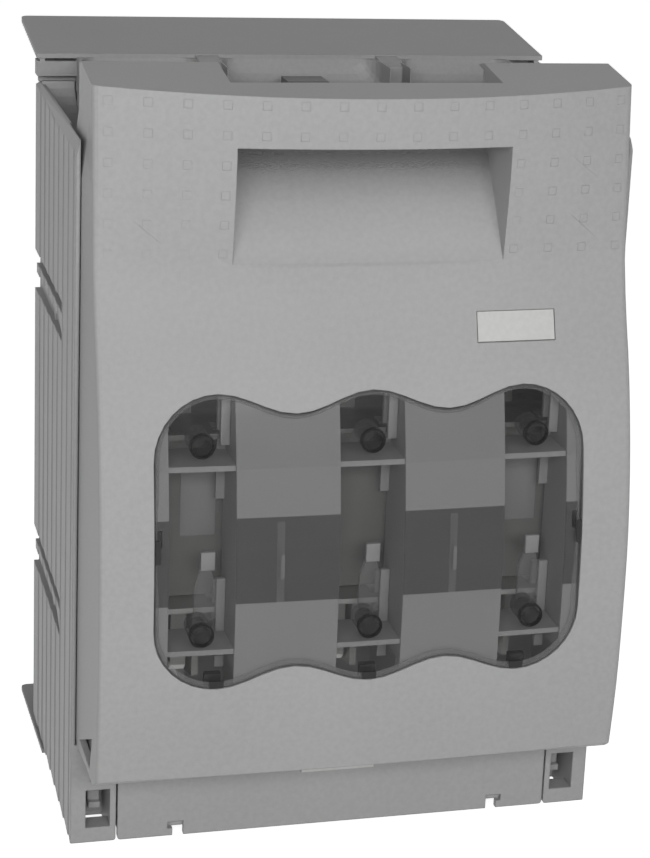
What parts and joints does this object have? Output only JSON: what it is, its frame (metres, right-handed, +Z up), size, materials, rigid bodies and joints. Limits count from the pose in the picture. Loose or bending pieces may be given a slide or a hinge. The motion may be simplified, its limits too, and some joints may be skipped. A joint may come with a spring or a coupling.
{
  "type": "fuse switch disconnector",
  "caption": "Fuse switch disconnector with a hinged fuse-carrier cover, wavy clear window, recessed handle bar, ribbed base, terminal shrouds, knife fuse links and spring-backed contacts.",
  "frame": {"origin": "middle of the rear mounting face, on the plane of the wall or plate that carries the switch", "axes": "+X to the right seen from the front, -Y out of the front, +Z up"},
  "size_m": [0.2112, 0.2099, 0.3082],
  "materials": {
    "housing": "fine moulded grain",
    "shroud": "fine moulded grain",
    "frame": "moulded",
    "cover": "fine moulded grain",
    "carrier": "moulded",
    "clear": "clear moulded plastic",
    "black": "moulded",
    "white": "smooth",
    "insert": "blank printed sheet",
    "ceramic": "unglazed steatite ceramic",
    "silver": "silver-plated copper",
    "copper": "tinned copper",
    "steel": "zinc-plated"
  },
  "bodies": {
    "base": {"arc_chamber_1": "steel", "arc_chamber_2": "steel", "arc_chamber_3": "steel", "base_housing": "housing", "bottom_shroud": "shroud", "cover_catch": "black", "hinge_pin_left": "steel", "hinge_pin_right": "steel", "lower_jaw_1": "copper", "lower_jaw_2": "copper", "lower_jaw_3": "copper", "lower_jaw_spring_1": "steel", "lower_jaw_spring_2": "steel", "lower_jaw_spring_3": "steel", "lower_terminal_1": "copper", "lower_terminal_2": "copper", "lower_terminal_3": "copper", "lower_terminal_bolt_1": "steel", "lower_terminal_bolt_2": "steel", "lower_terminal_bolt_3": "steel", "marker_strip": "white", "mounting_frame": "frame", "strip_cover": "housing", "top_shroud": "shroud", "upper_jaw_1": "copper", "upper_jaw_2": "copper", "upper_jaw_3": "copper", "upper_jaw_spring_1": "steel", "upper_jaw_spring_2": "steel", "upper_jaw_spring_3": "steel", "upper_terminal_1": "copper", "upper_terminal_2": "copper", "upper_terminal_3": "copper", "upper_terminal_bolt_1": "steel", "upper_terminal_bolt_2": "steel", "upper_terminal_bolt_3": "steel"},
    "cover": {"cover_shell": "cover", "fuse_body_1": "ceramic", "fuse_body_2": "ceramic", "fuse_body_3": "ceramic", "fuse_carrier_plate": "carrier", "fuse_lower_contact_1": "silver", "fuse_lower_contact_2": "silver", "fuse_lower_contact_3": "silver", "fuse_tongue_1": "white", "fuse_tongue_2": "white", "fuse_tongue_3": "white", "fuse_upper_contact_1": "silver", "fuse_upper_contact_2": "silver", "fuse_upper_contact_3": "silver", "insert_sheet": "insert", "marker_plate": "white", "viewing_window": "clear", "window_clip_1": "black", "window_clip_2": "black", "window_clip_3": "black", "window_clip_4": "black", "window_clip_5": "black"}
  },
  "joints": [
    {"name": "cover_hinge", "type": "hinge", "parent": "base", "child": "cover", "pos_m": [0, -0.165, -0.11], "axis": [1, 0, 0], "range_deg": [0, 65]}
  ]
}
